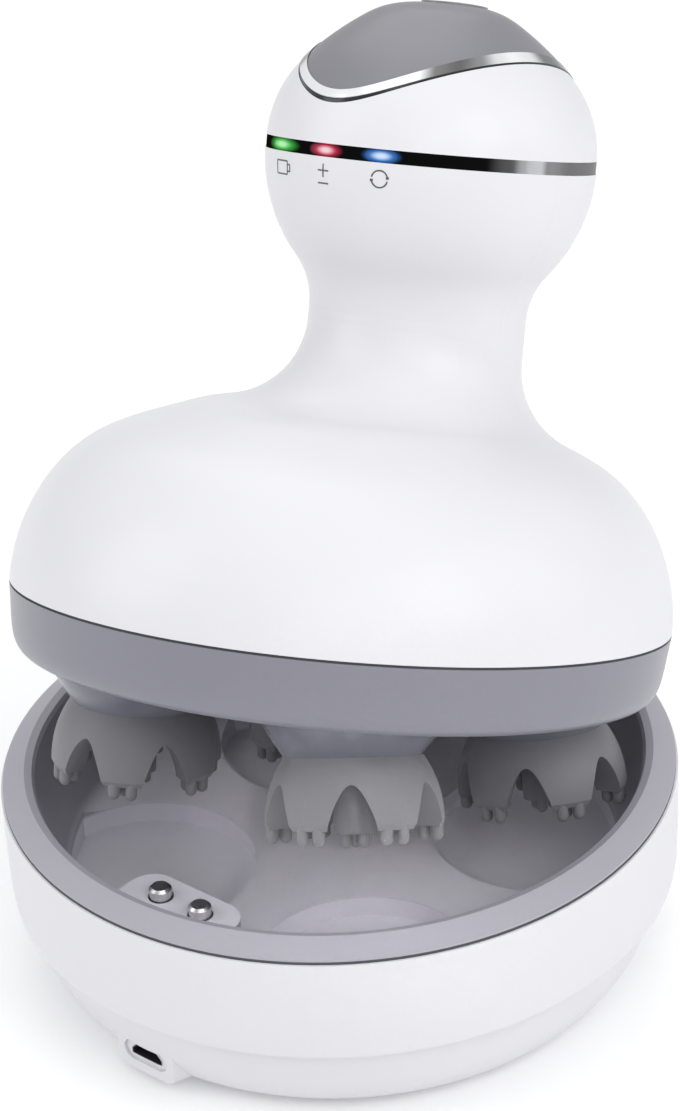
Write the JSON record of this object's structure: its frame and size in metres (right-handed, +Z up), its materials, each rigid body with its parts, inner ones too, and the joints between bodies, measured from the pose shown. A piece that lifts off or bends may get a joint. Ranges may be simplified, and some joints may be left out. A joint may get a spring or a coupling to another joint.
{
  "type": "scalp massager with charging dock",
  "caption": "Round-bodied electric scalp massager with ball grip, leaf-shaped top panel, push button and turning kneading claws, leaning in a round bowl-shaped charging dock.",
  "frame": {"origin": "on the standing surface, under the middle of the round dock", "axes": "+Z up, -Y to the front of the dock, where the charging socket is; +X to the right seen from the front"},
  "size_m": [0.1282, 0.1434, 0.1722],
  "materials": {
    "white_shell": "satin white",
    "seal_dark": "dark",
    "liner_grey": "satin lavender grey",
    "base_white": "matt white",
    "pad_rubber": "matte",
    "steel": "turned",
    "circuit_green": "solder resist",
    "black_plastic": "matt black",
    "contact_gold": "plated",
    "grey_case": "satin lavender grey",
    "black_gloss": "glossy black",
    "light_green": "translucent green",
    "light_red": "translucent red",
    "light_blue": "translucent blue",
    "trim_chrome": "bright",
    "panel_grey": "satin grey",
    "cell_wrap": "shrink wrap over steel can",
    "frame_grey": "moulded",
    "bronze": "sintered bronze",
    "button_grey": "satin light grey",
    "gear_plastic": "natural acetal",
    "hub_lavender": "glossy lavender grey",
    "claw_silicone": "matte grey silicone"
  },
  "bodies": {
    "dock": {"dock_shell": "white_shell", "dock_seal": "seal_dark", "dock_liner": "liner_grey", "base_plate": "base_white", "anti_slip_pad": "pad_rubber", "base_screws": "steel", "usb_board": "circuit_green", "usb_receptacle": "steel", "usb_tongue": "black_plastic", "contact_board": "circuit_green", "pin_carrier": "black_plastic", "contact_spring_left": "steel", "contact_spring_right": "steel"},
    "charge_pin_left": {"charge_pin_left": "contact_gold"},
    "charge_pin_right": {"charge_pin_right": "contact_gold"},
    "massager": {"main_shell": "white_shell", "seam_seal": "seal_dark", "lower_case": "grey_case", "case_screws": "steel", "contact_plates": "contact_gold", "indicator_band": "black_gloss", "light_battery": "light_green", "light_power": "light_red", "light_direction": "light_blue", "led_board": "circuit_green", "head_cap": "white_shell", "trim_ring": "trim_chrome", "top_panel": "panel_grey", "battery_cell": "cell_wrap", "battery_holder": "frame_grey", "control_board": "circuit_green", "tactile_switch": "black_plastic", "gearbox_base": "frame_grey", "spindle_bushings": "bronze", "gearbox_top": "frame_grey", "motor_plate": "frame_grey", "drive_motor": "steel"},
    "power_button": {"power_button": "button_grey"},
    "centre_drive": {"centre_shaft": "steel", "centre_gear": "gear_plastic", "main_wheel": "gear_plastic"},
    "idler": {"idler_gear": "gear_plastic", "idler_shaft": "steel"},
    "rotor": {"motor_pinion": "bronze", "motor_shaft": "steel"},
    "head_front_right": {"gear_front_right": "gear_plastic", "hub_front_right": "hub_lavender", "claw_front_right": "claw_silicone"},
    "head_rear_right": {"gear_rear_right": "gear_plastic", "hub_rear_right": "hub_lavender", "claw_rear_right": "claw_silicone"},
    "head_rear_left": {"gear_rear_left": "gear_plastic", "hub_rear_left": "hub_lavender", "claw_rear_left": "claw_silicone"},
    "head_front_left": {"gear_front_left": "gear_plastic", "hub_front_left": "hub_lavender", "claw_front_left": "claw_silicone"}
  },
  "joints": [
    {"name": "massager_lift", "type": "slide", "parent": "dock", "child": "massager", "axis": [0, 0, 1], "range_m": [0, 0.09]},
    {"name": "charge_pin_left_press", "type": "slide", "parent": "dock", "child": "charge_pin_left", "axis": [0, 0, -1], "range_m": [0, 0.0012], "stiffness_N_per_m": 500, "springref_m": -0.0006, "deforming": ["contact_spring_left"]},
    {"name": "charge_pin_right_press", "type": "slide", "parent": "dock", "child": "charge_pin_right", "axis": [0, 0, -1], "range_m": [0, 0.0012], "stiffness_N_per_m": 500, "springref_m": -0.0006, "deforming": ["contact_spring_right"]},
    {"name": "power_button_press", "type": "slide", "parent": "massager", "child": "power_button", "axis": [0.1346, -0.3659, -0.9208], "range_m": [0, 0.0008], "stiffness_N_per_m": 2000, "springref_m": -0.0004},
    {"name": "centre_drive_turn", "type": "hinge", "parent": "massager", "child": "centre_drive", "pos_m": [-0.00097, 0.00436, 0.07225], "axis": [-0.1346, 0.3659, 0.9208], "continuous": true},
    {"name": "idler_turn", "type": "hinge", "parent": "massager", "child": "idler", "pos_m": [-0.02037, -0.00424, 0.07989], "axis": [-0.1346, 0.3659, 0.9208], "continuous": true},
    {"name": "rotor_turn", "type": "hinge", "parent": "massager", "child": "rotor", "pos_m": [-0.00257, -0.00443, 0.08257], "axis": [-0.1346, 0.3659, 0.9208], "continuous": true},
    {"name": "head_front_right_turn", "type": "hinge", "parent": "massager", "child": "head_front_right", "pos_m": [0.0253, -0.0253, 0.07387], "axis": [-0.1346, 0.3659, 0.9208], "continuous": true},
    {"name": "head_rear_right_turn", "type": "hinge", "parent": "massager", "child": "head_rear_right", "pos_m": [0.02868, 0.02405, 0.05475], "axis": [-0.1346, 0.3659, 0.9208], "continuous": true},
    {"name": "head_rear_left_turn", "type": "hinge", "parent": "massager", "child": "head_rear_left", "pos_m": [-0.02376, 0.02459, 0.04687], "axis": [-0.1346, 0.3659, 0.9208], "continuous": true},
    {"name": "head_front_left_turn", "type": "hinge", "parent": "massager", "child": "head_front_left", "pos_m": [-0.02714, -0.02477, 0.06599], "axis": [-0.1346, 0.3659, 0.9208], "continuous": true}
  ],
  "couplings": [
    {"joint": "idler_turn", "follows": "centre_drive_turn", "ratio": -5},
    {"joint": "rotor_turn", "follows": "centre_drive_turn", "ratio": 20},
    {"joint": "head_front_right_turn", "follows": "centre_drive_turn", "ratio": -1.5},
    {"joint": "head_rear_right_turn", "follows": "centre_drive_turn", "ratio": -1.5},
    {"joint": "head_rear_left_turn", "follows": "centre_drive_turn", "ratio": -1.5},
    {"joint": "head_front_left_turn", "follows": "centre_drive_turn", "ratio": -1.5}
  ]
}
